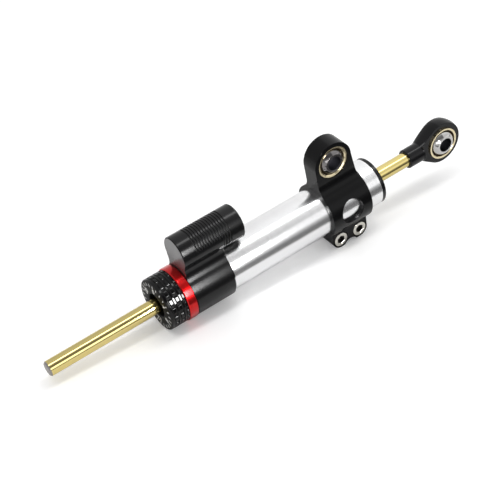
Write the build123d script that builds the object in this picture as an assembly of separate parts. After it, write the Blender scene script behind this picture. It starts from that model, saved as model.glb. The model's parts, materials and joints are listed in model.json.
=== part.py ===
from build123d import *
import math
import os

# A motorcycle steering damper: a cylinder with a rod right through it, a head that carries the oil
# reservoir, a click knob behind a spacer ring, a clamp with an ear, and a rod end.
# Lengths are millimetres. While a piece is drawn, X runs along the rod towards the rod end and starts at
# the outer face of the end cap, Z points up to the ear, and Y runs along both mounting bolts.

# Overrun of cuts past the face they leave by
over = 1.0

# Stroke, counted from where the rod stands in its drawn place
stroke_left = 20.0
stroke_right = 55.0
bump_gap = 2.8

# Lengths along the rod, from its bare tip to the eye of the rod end
rod_spare_left = 7.4
knob_length = 10.4
ring_length = 5.1
collar_length = 23.2
cap_flange = 2.0
rod_spare_right = 3.6
eye_reach = 23.5

# Rod
rod_d = 8.0
rod_chamfer = 0.7
rod_grip = 11.0

# Clearances on the radius, and the gaps between faces that turn or slide past each other
slide_gap = 0.03
seal_gap = 0.05
piston_gap = 0.07
ring_gap = 0.02
ball_gap = 0.06
clamp_gap = 0.04
turn_gap = 0.06
face_gap = 0.15
ring_play = 0.1

# Tube
tube_d = 26.2
tube_wall = 2.1
tube_chamfer = 0.4

# Head block
collar_wall = 1.2
head_floor = 8.0
reservoir_d = 18.4
reservoir_gap = 0.4
reservoir_overhang = 12.8
reservoir_wall = 1.6
reservoir_floor = 3.0
head_chamfer = 0.5
collar_round = 0.9
web_hollow = 8.0
cooling_grooves = 14
groove_pitch = 1.5
groove_width = 0.75
groove_depth = 0.45
groove_start = 7.8
passage_d = 2.4
passage_inset = 2.0
neck_inset = 5.3
neck_set_back = 2.8
port_d = 2.0
port_place = 3.6

# Guide bushes, rod seals and wipers
bush_wall = 1.5
bush_length = 8.0
seal_d = 12.0
seal_length = 3.2
seal_groove = 1.1
wiper_length = 1.6
wiper_lip = 0.5

# O-rings
cord_d = 1.2
cord_squeeze = 0.15

# Knob
knob_set_in = 0.2
knob_front_wall = 2.7
knob_eye_d = 13.0
knob_chamfer = 0.8
knob_band = 1.75
pad_rows = 3
pad_length = 1.9
rib_length = 1.1
rib_groove = 0.25
rib_groove_depth = 0.45
pockets_per_row = 18
pocket_width = 1.9
pocket_depth = 0.8
first_pocket_angle = 5.0
clicks = 24
click_track_depth = 0.35
click_pocket_depth = 0.2

# Metering sleeve and the snap ring that holds the knob
sleeve_wall = 1.7
sleeve_slot_width = 1.6
sleeve_slot_angle = 70.0
snap_wire = 1.0
snap_height = 1.1

# Spacer ring, click ball and spring
ring_proud = 0.3
ring_chamfer = 0.4
click_ball_d = 2.4
click_hole_gap = 0.1
click_wire_d = 0.25
click_turns = 3
ring_floor = 0.8

# Piston
piston_length = 16.0
piston_ring_width = 3.0
piston_ring_wall = 1.4
clip_width = 1.0
clip_wall = 1.8
bleed_d = 1.6
bleed_count = 4

# End cap
cap_set_in = 0.1
cap_spigot = 13.5
cap_chamfer = 0.3

# Reservoir inside
cap_disc = 4.0
cap_depth = 1.4
cap_clip_d = 1.0
fill_d = 5.0
fill_head = 1.3
fill_depth = 3.0
fill_hex = 2.5
float_length = 8.0
float_dish_depth = 3.0
float_dish_wall = 2.0
oil_length = 9.0

# Clamp
ear_width = 10.0
ear_wall = 2.3
ear_above_tube = 16.1
ear_from_edge = 10.6
clamp_width = 25.0
clamp_wall = 2.06
clamp_place = 11.0
clamp_blend = 8.0
slit = 1.6
lug_reach = 9.8
lug_round = 5.0
lug_dip = 2.2
window_d = 13.4
window_height = 1.5

# Clamp screws
screw_pitch = 12.3
screw_below_tube = 4.1
screw_d = 5.0
screw_gap = 0.15
screw_head_d = 8.2
screw_head_height = 4.3
screw_seat_gap = 0.5
screw_proud = 0.2
screw_length = 14.0
screw_hex = 4.0
screw_hex_depth = 2.4
screw_head_chamfer = 0.4

# Spherical bearings, the same in the ear and in the rod end
bolt_d = 8.0
race_d = 18.0
race_wall = 1.1
ball_width = 12.0
race_recess = 0.4
race_lip = 0.9
race_bevel = 0.8

# Rod end body
eye_wall = 3.3
eye_width = 9.2
eye_front_cut = 1.4
eye_chamfer = 0.3
shank_d = 10.6
shank_chamfer = 0.5
cone_reach = 14.4
flat_reach = 13.4

# Places along the rod: the piston's room sets the tube's length, and the strokes set how much rod shows
chamber_length = piston_length + stroke_left + stroke_right + 2 * bump_gap
tube_end_x = -cap_flange
cap_inner_x = tube_end_x - cap_spigot
tube_start_x = cap_inner_x - chamber_length
collar_face_x = tube_start_x - head_floor
collar_end_x = collar_face_x + collar_length
ring_face_x = collar_face_x - ring_length
knob_face_x = ring_face_x - knob_length
rod_tip_x = knob_face_x - stroke_right - rod_spare_left
rod_end_x = stroke_left + rod_spare_right
eye_x = rod_end_x + eye_reach
neck_tip_x = knob_face_x + neck_set_back
reservoir_end_x = collar_end_x + reservoir_overhang
clamp_right_x = -clamp_place
clamp_left_x = clamp_right_x - clamp_width
ear_x = clamp_left_x + ear_from_edge

# Radii and half widths that several pieces share
rod_r = rod_d / 2
tube_r = tube_d / 2
bore_r = tube_r - tube_wall
collar_r = tube_r + collar_wall
ring_r = collar_r + ring_proud
knob_r = collar_r - knob_set_in
cap_r = tube_r - cap_set_in
reservoir_r = reservoir_d / 2
reservoir_bore_r = reservoir_r - reservoir_wall
neck_r = collar_r - neck_inset
sleeve_inner_r = neck_r + turn_gap
sleeve_outer_r = sleeve_inner_r + sleeve_wall
bush_r = rod_r + slide_gap + bush_wall
seal_r = seal_d / 2
cord_r = (cord_d - cord_squeeze) / 2
clamp_bore_r = tube_r + clamp_gap
clamp_r = clamp_bore_r + clamp_wall
race_r = race_d / 2
ball_r = race_r - race_wall
ear_r = race_r + ear_wall
eye_r = race_r + eye_wall
click_r = (sleeve_outer_r + ring_r) / 2
click_hole_r = click_ball_d / 2 + click_hole_gap

# Places that several pieces share
reservoir_rise = collar_r + reservoir_r + reservoir_gap
passage_height = bore_r - passage_inset
ear_height = tube_r + ear_above_tube
screw_drop = tube_r + screw_below_tube
sleeve_left_x = neck_tip_x + snap_wire + 2 * ring_play + face_gap
sleeve_right_x = collar_face_x - face_gap
snap_x = neck_tip_x + ring_play + face_gap
port_x = collar_face_x - port_place
row_pitch = 2 * rib_groove + pad_length + rib_length
click_ball_x = ring_face_x - face_gap + click_track_depth - ball_gap + click_ball_d / 2
piston_x = cap_inner_x - bump_gap - stroke_right - piston_length / 2
reservoir_inner_x = collar_face_x + reservoir_floor
cap_disc_x = reservoir_end_x - cap_depth - cap_disc
float_x = reservoir_inner_x + oil_length
float_cord_place = (float_length - float_dish_depth) / 2
cap_cord_x = cap_inner_x + cap_spigot / 2
neck_cord_offset = port_d / 2 + cord_d
wiper_left_x = neck_tip_x + wiper_lip
seal_left_x = wiper_left_x + wiper_length
bush_left_x = tube_start_x - bush_length
wiper_right_x = -wiper_lip - wiper_length
seal_right_x = wiper_right_x - seal_length
bush_right_x = cap_inner_x + face_gap
clamp_middle_x = (clamp_left_x + clamp_right_x) / 2
screw_places = [clamp_middle_x - screw_pitch / 2, clamp_middle_x + screw_pitch / 2]


def placed(shape):
    """Move a drawn shape so that the origin is the middle of the ear's ball."""
    return Pos(-ear_x, 0, -ear_height) * shape


def turned(points):
    """Solid of revolution about the rod from (x, radius) points."""
    outline = Polyline(*[(x, 0, r) for x, r in points], close=True)
    return revolve(make_face(outline), Axis.X)


def sleeve(x0, x1, outer, inner):
    """Plain hollow cylinder on the rod's axis."""
    return turned([(x0, inner), (x0, outer), (x1, outer), (x1, inner)])


def bar_x(x0, x1, r, y=0, z=0):
    """Solid cylinder along X."""
    cylinder = Cylinder(r, x1 - x0, align=(Align.CENTER, Align.CENTER, Align.MIN))
    return Pos(x0, y, z) * Rot(0, 90, 0) * cylinder


def bar_y(y0, y1, r, x, z):
    """Solid cylinder along Y."""
    cylinder = Cylinder(r, y1 - y0, align=(Align.CENTER, Align.CENTER, Align.MIN))
    return Pos(x, y0, z) * Rot(-90, 0, 0) * cylinder


def bar_z(z0, z1, r, x):
    """Solid cylinder along Z in the plane Y = 0."""
    cylinder = Cylinder(r, z1 - z0, align=(Align.CENTER, Align.CENTER, Align.MIN))
    return Pos(x, 0, z0) * cylinder


def cord_ring(x, r):
    """Round-section rubber ring on the rod's axis, r to the middle of its cord."""
    return Pos(x, 0, 0) * Rot(0, 90, 0) * Torus(r, cord_r)


def cord_groove(x, seat_r):
    """Square groove for a rubber ring that reaches out to seat_r, as a solid to cut away."""
    return sleeve(x - cord_r - ring_play, x + cord_r + ring_play, seat_r + over, seat_r - 2 * cord_r)


def hex_bar(across, length):
    """Hexagonal bar along +Z from the origin."""
    return extrude(RegularPolygon(across / 2, 6, major_radius=False), length)


def outer_tangent(r0, z0, r1, z1, side):
    """Points (y, z) where a straight line touches two circles centred on Y = 0."""
    tilt = math.asin((r0 - r1) / (z1 - z0))
    y_part = side * math.cos(tilt)
    z_part = math.sin(tilt)
    return (r0 * y_part, z0 + r0 * z_part), (r1 * y_part, z1 + r1 * z_part)


# Rod group

def piston_rod():
    """Bar through the whole damper, chamfered at the bare tip and screwed into the rod end."""
    return turned([
        (rod_tip_x, 0),
        (rod_tip_x, rod_r - rod_chamfer),
        (rod_tip_x + rod_chamfer, rod_r),
        (rod_end_x + rod_grip, rod_r),
        (rod_end_x + rod_grip, 0),
    ])


def piston():
    """Piston with a groove for its ring and small bleed holes right through."""
    half = piston_length / 2
    body = sleeve(piston_x - half, piston_x + half, bore_r - piston_gap, rod_r)
    groove_floor = bore_r - ring_gap - piston_ring_wall
    ring_half = piston_ring_width / 2 + ring_play
    body -= sleeve(piston_x - ring_half, piston_x + ring_half, bore_r, groove_floor)
    bleed_radius = (rod_r + groove_floor) / 2
    for i in range(bleed_count):
        hole = bar_x(piston_x - half - over, piston_x + half + over, bleed_d / 2, 0, bleed_radius)
        body -= Rot(360 * i / bleed_count, 0, 0) * hole
    return body


def piston_ring():
    """Low-friction ring that rides on the bore."""
    half = piston_ring_width / 2
    outer = bore_r - ring_gap
    return sleeve(piston_x - half, piston_x + half, outer, outer - piston_ring_wall + ring_play)


def piston_clips():
    """Two clips that hold the piston on the rod, one at each face."""
    reach = piston_length / 2
    outer = rod_r + clip_wall
    left = sleeve(piston_x - reach - clip_width, piston_x - reach, outer, rod_r)
    right = sleeve(piston_x + reach, piston_x + reach + clip_width, outer, rod_r)
    return left + right


# Cylinder group

def damper_tube():
    """Plain tube, screwed into the collar at the left and closed by the end cap at the right."""
    return turned([
        (tube_start_x, bore_r),
        (tube_start_x, tube_r),
        (tube_end_x - tube_chamfer, tube_r),
        (tube_end_x, tube_r - tube_chamfer),
        (tube_end_x, bore_r),
    ])


def rod_bush(x0):
    """Bronze guide bush on the rod."""
    return sleeve(x0, x0 + bush_length, bush_r, rod_r + slide_gap)


def rod_seal(x0, open_side):
    """Lip seal with a V groove in the face towards the oil, at +X or -X by open_side."""
    x1 = x0 + seal_length
    inner = rod_r + seal_gap
    oil_x, dry_x = (x1, x0) if open_side > 0 else (x0, x1)
    root_x = oil_x - open_side * seal_groove
    middle = (inner + seal_r) / 2
    return turned([
        (dry_x, inner),
        (dry_x, seal_r),
        (oil_x, seal_r),
        (root_x, middle),
        (oil_x, inner),
    ])


def rod_wiper(x0, outside):
    """Dust wiper, its lip pointing outwards at +X or -X."""
    x1 = x0 + wiper_length
    out_x, in_x = (x1, x0) if outside > 0 else (x0, x1)
    inner = rod_r + seal_gap
    return turned([
        (in_x, inner),
        (in_x, seal_r),
        (out_x, seal_r),
        (out_x, inner + wiper_lip + wiper_lip),
        (out_x + outside * wiper_lip, inner + wiper_lip),
        (out_x + outside * wiper_lip, inner),
    ])


def head_outline():
    """Head's section across the rod: collar, reservoir, flat front and hollowed back."""
    front_low, front_high = outer_tangent(collar_r, 0, reservoir_r, reservoir_rise, -1)
    low_reach = collar_r + web_hollow
    high_reach = reservoir_r + web_hollow
    hollow_z = (low_reach ** 2 - high_reach ** 2 + reservoir_rise ** 2) / (2 * reservoir_rise)
    hollow_y = math.sqrt(low_reach ** 2 - hollow_z ** 2)
    back_low = (hollow_y * collar_r / low_reach, hollow_z * collar_r / low_reach)
    high_share = reservoir_r / high_reach
    back_high = (hollow_y * high_share, reservoir_rise + (hollow_z - reservoir_rise) * high_share)
    edges = [
        Line((0, 0), front_low),
        Line(front_low, front_high),
        Line(front_high, (0, reservoir_rise)),
        Line((0, reservoir_rise), back_high),
        RadiusArc(back_high, back_low, -web_hollow),
        Line(back_low, (0, 0)),
    ]
    return make_face(edges)


def web_block():
    """Solid between collar and reservoir, as long as the collar."""
    section = Plane(origin=(collar_face_x, 0, 0), x_dir=(0, 1, 0), z_dir=(1, 0, 0)) * head_outline()
    return extrude(section, collar_length)


def reservoir_barrel():
    """Reservoir cylinder with its row of turned grooves and chamfered open end."""
    points = [(collar_face_x, 0), (collar_face_x, reservoir_r - head_chamfer)]
    points.append((collar_face_x + head_chamfer, reservoir_r))
    for i in range(cooling_grooves):
        x0 = collar_face_x + groove_start + i * groove_pitch
        x1 = x0 + groove_width
        floor_r = reservoir_r - groove_depth
        points += [(x0, reservoir_r), (x0, floor_r), (x1, floor_r), (x1, reservoir_r)]
    points.append((reservoir_end_x - head_chamfer, reservoir_r))
    points.append((reservoir_end_x, reservoir_r - head_chamfer))
    points.append((reservoir_end_x, 0))
    return Pos(0, 0, reservoir_rise) * turned(points)


def collar_barrel():
    """Collar round the tube and the neck that the knob turns on, before they are bored."""
    return turned([
        (neck_tip_x, 0),
        (neck_tip_x, neck_r),
        (collar_face_x, neck_r),
        (collar_face_x, collar_r - head_chamfer),
        (collar_face_x + head_chamfer, collar_r),
        (collar_end_x - collar_round, collar_r),
        (collar_end_x, collar_r - collar_round),
        (collar_end_x, 0),
    ])


def head_bores():
    """Everything that is bored along the rod and along the reservoir."""
    tube_socket = bar_x(tube_start_x, collar_end_x + over, tube_r)
    bush_bore = bar_x(bush_left_x, tube_start_x + over, bush_r)
    gallery = bar_x(seal_left_x + seal_length, bush_left_x + over, (rod_r + bush_r) / 2)
    seal_bore = bar_x(neck_tip_x - over, seal_left_x + seal_length, seal_r)
    reservoir_bore = bar_x(reservoir_inner_x, reservoir_end_x + over, reservoir_bore_r, 0, reservoir_rise)
    clip_x = reservoir_end_x - cap_depth
    clip_groove_r = reservoir_bore_r + cap_clip_d / 2
    clip_groove = bar_x(clip_x, clip_x + cap_clip_d, clip_groove_r, 0, reservoir_rise)
    return [tube_socket, bush_bore, gallery, seal_bore, reservoir_bore, clip_groove]


def head_passages():
    """Oil drillings: cylinder to reservoir, and the two ports under the metering sleeve."""
    drill_r = passage_d / 2
    drill_x = (reservoir_inner_x + tube_start_x) / 2
    to_cylinder = bar_x(drill_x, tube_start_x + over, drill_r, 0, passage_height)
    to_reservoir = bar_z(passage_height, reservoir_rise - reservoir_bore_r + over, drill_r, drill_x)
    ports = bar_z(-neck_r - over, neck_r + over, port_d / 2, port_x)
    return [to_cylinder, to_reservoir, ports]


def neck_grooves():
    """Grooves on the neck for the two rubber rings and the knob's snap ring."""
    left = cord_groove(port_x - neck_cord_offset, neck_r)
    right = cord_groove(port_x + neck_cord_offset, neck_r)
    snap = sleeve(snap_x, snap_x + snap_wire, neck_r + over, neck_r - snap_height / 2)
    return [left, right, snap]


def head_block():
    """Machined head: collar, reservoir, web between them and the neck of the knob."""
    body = collar_barrel() + web_block() + reservoir_barrel()
    return body - head_bores() - head_passages() - neck_grooves()


def neck_o_rings():
    """Two rubber rings under the metering sleeve, one each side of the ports."""
    middle_r = neck_r - cord_r
    left = cord_ring(port_x - neck_cord_offset, middle_r)
    right = cord_ring(port_x + neck_cord_offset, middle_r)
    return left + right


def knob_snap_ring():
    """Open spring ring in the neck's groove, which keeps the knob from sliding off."""
    inner = neck_r - snap_height / 2
    ring = sleeve(snap_x + ring_play, snap_x + snap_wire - ring_play, inner + snap_height, inner)
    gap = Box(snap_wire + over, snap_height * 2, snap_height * 4)
    return ring - Pos(snap_x, 0, -inner - snap_height / 2) * gap


def spacer_ring():
    """Anodised ring between the knob and the collar, bored for the click ball and its spring."""
    outer = ring_r
    right_x = collar_face_x - face_gap / 2
    body = turned([
        (ring_face_x, sleeve_outer_r + turn_gap),
        (ring_face_x, outer - ring_chamfer),
        (ring_face_x + ring_chamfer, outer),
        (right_x - ring_chamfer, outer),
        (right_x, outer - ring_chamfer),
        (right_x, sleeve_outer_r + turn_gap),
    ])
    return body - bar_x(ring_face_x - over, collar_face_x - ring_floor, click_hole_r, 0, click_r)


def click_ball():
    """Steel ball that drops into the pockets behind the knob."""
    return Pos(click_ball_x, 0, click_r) * Sphere(click_ball_d / 2)


def click_spring():
    """Small coil spring behind the click ball."""
    start_x = click_ball_x + click_ball_d / 2 + click_wire_d
    end_x = collar_face_x - ring_floor - click_wire_d
    coil_r = click_ball_d / 2 - click_wire_d
    length = end_x - start_x
    path = Helix(pitch=length / click_turns, height=length, radius=coil_r)
    wire = Plane(origin=path @ 0, z_dir=path % 0) * Circle(click_wire_d / 2)
    return Pos(start_x, 0, click_r) * Rot(0, 90, 0) * sweep(wire, path, is_frenet=True)


def end_cap():
    """Black cap in the right end of the tube, bored for the bush, seal and wiper."""
    body = turned([
        (cap_inner_x, bush_r),
        (cap_inner_x, bore_r),
        (tube_end_x, bore_r),
        (tube_end_x, cap_r),
        (-cap_chamfer, cap_r),
        (0, cap_r - cap_chamfer),
        (0, seal_r),
        (seal_right_x, seal_r),
        (seal_right_x, bush_r),
    ])
    return body - cord_groove(cap_cord_x, bore_r)


def end_cap_o_ring():
    """Rubber ring that seals the end cap in the tube."""
    return cord_ring(cap_cord_x, bore_r - cord_r)


def reservoir_cap():
    """Flat cap in the reservoir's open end, with a threaded hole for the fill screw."""
    outer = reservoir_bore_r
    body = turned([
        (cap_disc_x, 0),
        (cap_disc_x, outer),
        (cap_disc_x + cap_disc, outer),
        (cap_disc_x + cap_disc, 0),
    ])
    body -= cord_groove(cap_disc_x + cap_disc / 2, outer)
    body -= bar_x(cap_disc_x + cap_disc - fill_depth, cap_disc_x + cap_disc + over, fill_d / 2)
    return Pos(0, 0, reservoir_rise) * body


def reservoir_cap_o_ring():
    """Rubber ring round the reservoir cap."""
    return Pos(0, 0, reservoir_rise) * cord_ring(cap_disc_x + cap_disc / 2, reservoir_bore_r - cord_r)


def reservoir_clip():
    """Wire clip in the groove outside the reservoir cap, open at the bottom."""
    x = reservoir_end_x - cap_depth + cap_clip_d / 2
    wire_r = cap_clip_d / 2 - ring_play / 2
    ring = Rot(0, 90, 0) * Torus(reservoir_bore_r, wire_r)
    gap = Pos(0, 0, -reservoir_bore_r) * Box(cap_clip_d + over, reservoir_bore_r / 2, cap_clip_d + over)
    return Pos(x, 0, reservoir_rise) * (ring - gap)


def fill_screw():
    """Screw that closes the filling hole, with a low head and a hexagon socket."""
    face_x = cap_disc_x + cap_disc
    body = bar_x(face_x - fill_depth, face_x, fill_d / 2)
    body += bar_x(face_x, face_x + fill_head, fill_d / 2 + fill_head / 2)
    socket = Rot(0, 90, 0) * hex_bar(fill_hex, fill_head + over)
    return Pos(0, 0, reservoir_rise) * (body - Pos(face_x, 0, 0) * socket)


def floating_piston():
    """Cup that parts the oil from the gas, with a rubber ring round it."""
    outer = reservoir_bore_r - piston_gap
    dish_r = outer - float_dish_wall
    end_x = float_x + float_length
    body = turned([
        (float_x, 0),
        (float_x, outer),
        (end_x, outer),
        (end_x, dish_r),
        (end_x - float_dish_depth, dish_r),
        (end_x - float_dish_depth, 0),
    ])
    body -= cord_groove(float_x + float_cord_place, reservoir_bore_r - ring_gap)
    return Pos(0, 0, reservoir_rise) * body


def floating_piston_o_ring():
    """Rubber ring of the floating piston, clear of the bore by a hair."""
    middle_r = reservoir_bore_r - ring_gap - cord_r
    return Pos(0, 0, reservoir_rise) * cord_ring(float_x + float_cord_place, middle_r)


# Knob group

def grip_pockets():
    """Hollow pockets round the knob, in rows, which leave a pad between each two."""
    cutter_r = ((pocket_width / 2) ** 2 + pocket_depth ** 2) / (2 * pocket_depth)
    cutter_height = knob_r - pocket_depth + cutter_r
    pockets = []
    for row in range(pad_rows):
        x0 = knob_face_x + knob_band + rib_groove / 2 + row * row_pitch
        pocket = bar_x(x0, x0 + pad_length + rib_groove, cutter_r, 0, cutter_height)
        turns = [first_pocket_angle + 360 * i / pockets_per_row for i in range(pockets_per_row)]
        pockets += [Rot(turn, 0, 0) * pocket for turn in turns]
    return pockets


def click_pockets():
    """Shallow pockets in the click track, one for each click."""
    ball_r_free = click_ball_d / 2
    pocket_x = ring_face_x - face_gap - click_track_depth - click_pocket_depth + ball_r_free
    pocket = Pos(pocket_x, 0, click_r) * Sphere(ball_r_free)
    return [Rot(360 * i / clicks, 0, 0) * pocket for i in range(clicks)]


def adjuster_knob():
    """Click knob: rows of pads between smooth ribs, bored for the neck, the snap ring and the sleeve."""
    outer = knob_r
    back_x = ring_face_x - face_gap
    wall_x = knob_face_x + knob_front_wall
    points = [(knob_face_x, knob_eye_d / 2), (knob_face_x, outer - knob_chamfer)]
    points.append((knob_face_x + knob_chamfer, outer))
    for row in range(pad_rows):
        before_pads = knob_face_x + knob_band + row * row_pitch
        after_pads = before_pads + rib_groove + pad_length
        for x0 in (before_pads, after_pads):
            x1 = x0 + rib_groove
            if x1 < back_x:
                floor_r = outer - rib_groove_depth
                points += [(x0, outer), (x0, floor_r), (x1, floor_r), (x1, outer)]
    snap_r = neck_r + snap_height / 2 + ring_play
    points += [
        (back_x, outer),
        (back_x, sleeve_outer_r),
        (sleeve_left_x, sleeve_outer_r),
        (sleeve_left_x, snap_r),
        (wall_x, snap_r),
        (wall_x, knob_eye_d / 2),
    ]
    body = turned(points)
    track_r = click_ball_d / 2
    track = Pos(back_x - click_track_depth + track_r, 0, 0) * Rot(0, 90, 0) * Torus(click_r, track_r)
    return body - grip_pockets() - track - click_pockets()


def metering_sleeve():
    """Sleeve pressed in the knob; its slot opens or closes the neck's ports as it turns."""
    body = sleeve(sleeve_left_x, sleeve_right_x, sleeve_outer_r, sleeve_inner_r)
    half = sleeve_slot_width / 2
    ring = sleeve(port_x - half, port_x + half, sleeve_outer_r + over, sleeve_inner_r - over)
    reach = sleeve_outer_r + over + over
    turn = math.radians(sleeve_slot_angle / 2)
    corner_y = reach * math.tan(turn)
    wedge = Polyline((0, 0), (corner_y, reach), (-corner_y, reach), close=True)
    plane = Plane(origin=(port_x - half, 0, 0), x_dir=(0, 1, 0), z_dir=(1, 0, 0))
    sector = extrude(plane * make_face(wedge), sleeve_slot_width)
    return body - (ring & sector)


# Clamp group

def clamp_section():
    """Clamp's section across the rod: ear plate that flows into the barrel with hollow blends."""
    half = ear_width / 2
    reach = clamp_r + clamp_blend
    blend_z = math.sqrt(reach ** 2 - (half + clamp_blend) ** 2)
    touch_y = (half + clamp_blend) * clamp_r / reach
    touch_z = blend_z * clamp_r / reach
    top = ear_height + 2 * ear_r
    edges = [
        Line((0, 0), (-touch_y, touch_z)),
        RadiusArc((-touch_y, touch_z), (-half, blend_z), -clamp_blend),
        Line((-half, blend_z), (-half, top)),
        Line((-half, top), (half, top)),
        Line((half, top), (half, blend_z)),
        RadiusArc((half, blend_z), (touch_y, touch_z), -clamp_blend),
        Line((touch_y, touch_z), (0, 0)),
    ]
    return make_face(edges)


def ear_outline():
    """Clamp's outline from the front above the rod: round ear that widens into the barrel."""
    left = (clamp_left_x, clamp_r)
    right = (clamp_right_x, clamp_r / 2)
    ear = Pos(ear_x, ear_height) * Circle(ear_r)
    skirt = Polyline(
        (clamp_left_x, 0),
        left,
        (ear_x - ear_r, ear_height),
        (ear_x + ear_r, ear_height),
        right,
        (clamp_right_x, 0),
        close=True,
    )
    return ear + make_face(skirt)


def ear_block():
    """Ear and blends: the section run along the rod, cut to the outline seen from the front."""
    plane = Plane(origin=(clamp_left_x - ear_r, 0, 0), x_dir=(0, 1, 0), z_dir=(1, 0, 0))
    along_rod = extrude(plane * clamp_section(), clamp_width + 2 * ear_r)
    from_front = extrude(Plane.XZ * ear_outline(), clamp_r, both=True)
    return along_rod & from_front


def lug_block():
    """Two lugs below the barrel in one piece, round about each screw with a dip between."""
    left_x = screw_places[0]
    right_x = screw_places[1]
    bosses = Pos(left_x, -screw_drop) * Circle(lug_round) + Pos(right_x, -screw_drop) * Circle(lug_round)
    width = right_x - left_x
    top = Pos(clamp_middle_x, -screw_drop / 2) * Rectangle(width + 2 * lug_round, screw_drop)
    fill = Pos(clamp_middle_x, -screw_drop - lug_round / 2) * Rectangle(width, lug_round)
    dip_drop = -screw_drop - lug_round - lug_dip
    outline = bosses + top + fill - Pos(clamp_middle_x, dip_drop) * Circle(2 * lug_dip)
    return extrude(Plane.XZ * outline, lug_reach, both=True)


def clamp():
    """Machined clamp with ear, barrel, window, and the slit between its two lugs."""
    body = bar_x(clamp_left_x, clamp_right_x, clamp_r) + ear_block() + lug_block()
    body -= bar_x(clamp_left_x - over, clamp_right_x + over, clamp_bore_r)
    body -= bar_y(-ear_width, ear_width, race_r, ear_x, ear_height)
    slit_height = screw_drop + lug_round + over
    cut = Box(clamp_width + 2 * over, slit, slit_height, align=(Align.CENTER, Align.CENTER, Align.MAX))
    body -= Pos(clamp_middle_x, 0, 0) * cut
    body -= bar_y(-clamp_r - over, 0, window_d / 2, clamp_middle_x, window_height)
    seat_y = screw_head_height - screw_proud - lug_reach
    for x in screw_places:
        body -= bar_y(-lug_reach - over, lug_reach + over, screw_d / 2 + screw_gap, x, -screw_drop)
        body -= bar_y(-lug_reach - over, seat_y, screw_head_d / 2 + screw_seat_gap, x, -screw_drop)
    return body


def clamp_screws():
    """Two socket-head screws across the slit."""
    head_y = -lug_reach - screw_proud
    under_head_y = head_y + screw_head_height
    screws = Part()
    for x in screw_places:
        head = bar_y(head_y, under_head_y, screw_head_d / 2, x, -screw_drop)
        head = chamfer(head.edges().group_by(Axis.Y)[0], screw_head_chamfer)
        shank = bar_y(under_head_y, under_head_y + screw_length, screw_d / 2, x, -screw_drop)
        socket = Pos(x, head_y, -screw_drop) * Rot(-90, 0, 0) * hex_bar(screw_hex, screw_hex_depth)
        screws += head + shank - socket
    return screws


# Spherical bearings

def bearing_race(half_width, x, z):
    """Outer race: round outside, hollow ball seat inside, bevelled at both mouths."""
    half = half_width - race_recess
    body = bar_y(-half, half, race_r, x, z) - Pos(x, 0, z) * Sphere(ball_r + ball_gap)
    mouth_r = race_r - race_lip
    for side in (-1, 1):
        cone = Cone(mouth_r - race_bevel, mouth_r, race_bevel, align=(Align.CENTER, Align.CENTER, Align.MAX))
        body -= Pos(x, side * half, z) * Rot(-90 * side, 0, 0) * cone
    return body


def bearing_ball(x, z):
    """Ball with flat ends and the hole for the bolt."""
    half = ball_width / 2
    barrel = bar_y(-half, half, ball_r, x, z)
    body = (Pos(x, 0, z) * Sphere(ball_r)) & barrel
    body -= bar_y(-half - over, half + over, bolt_d / 2, x, z)
    return body


# Rod end

def rod_end_body():
    """Rod end: turned as a shank that widens into a ball, then milled flat on both sides and bored."""
    shank_r = shank_d / 2
    slope = math.asin(eye_r / math.hypot(cone_reach, shank_r)) - math.atan2(shank_r, cone_reach)
    cone_end = (eye_x - eye_r * math.sin(slope), eye_r * math.cos(slope))
    round_start = 90 + math.degrees(slope)
    outline = [
        Polyline(
            (eye_x + eye_r, 0),
            (rod_end_x, 0),
            (rod_end_x, shank_r - shank_chamfer),
            (rod_end_x + shank_chamfer, shank_r),
            (eye_x - cone_reach, shank_r),
            cone_end,
        ),
        CenterArc((eye_x, 0), eye_r, round_start, -round_start),
    ]
    body = revolve(Plane.XZ * make_face(outline), Axis.X)
    flat_x = eye_x - flat_reach
    cut_length = flat_reach + eye_r + over
    front_cut = Box(cut_length, eye_r, 2 * eye_r, align=(Align.MIN, Align.MAX, Align.CENTER))
    back_cut = Box(cut_length, eye_r, 2 * eye_r, align=(Align.MIN, Align.MIN, Align.CENTER))
    body -= Pos(flat_x, eye_front_cut - eye_width / 2, 0) * front_cut
    body -= Pos(flat_x, eye_width / 2, 0) * back_cut
    by_depth = body.faces().sort_by(Axis.Y)
    rims = by_depth[0].edges().sort_by(Axis.X)[1:] + by_depth[-1].edges().sort_by(Axis.X)[1:]
    body = chamfer(rims, eye_chamfer)
    body -= bar_y(-eye_r, eye_r, race_r, eye_x, 0)
    return body - bar_x(rod_end_x - over, rod_end_x + rod_grip, rod_r)


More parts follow.
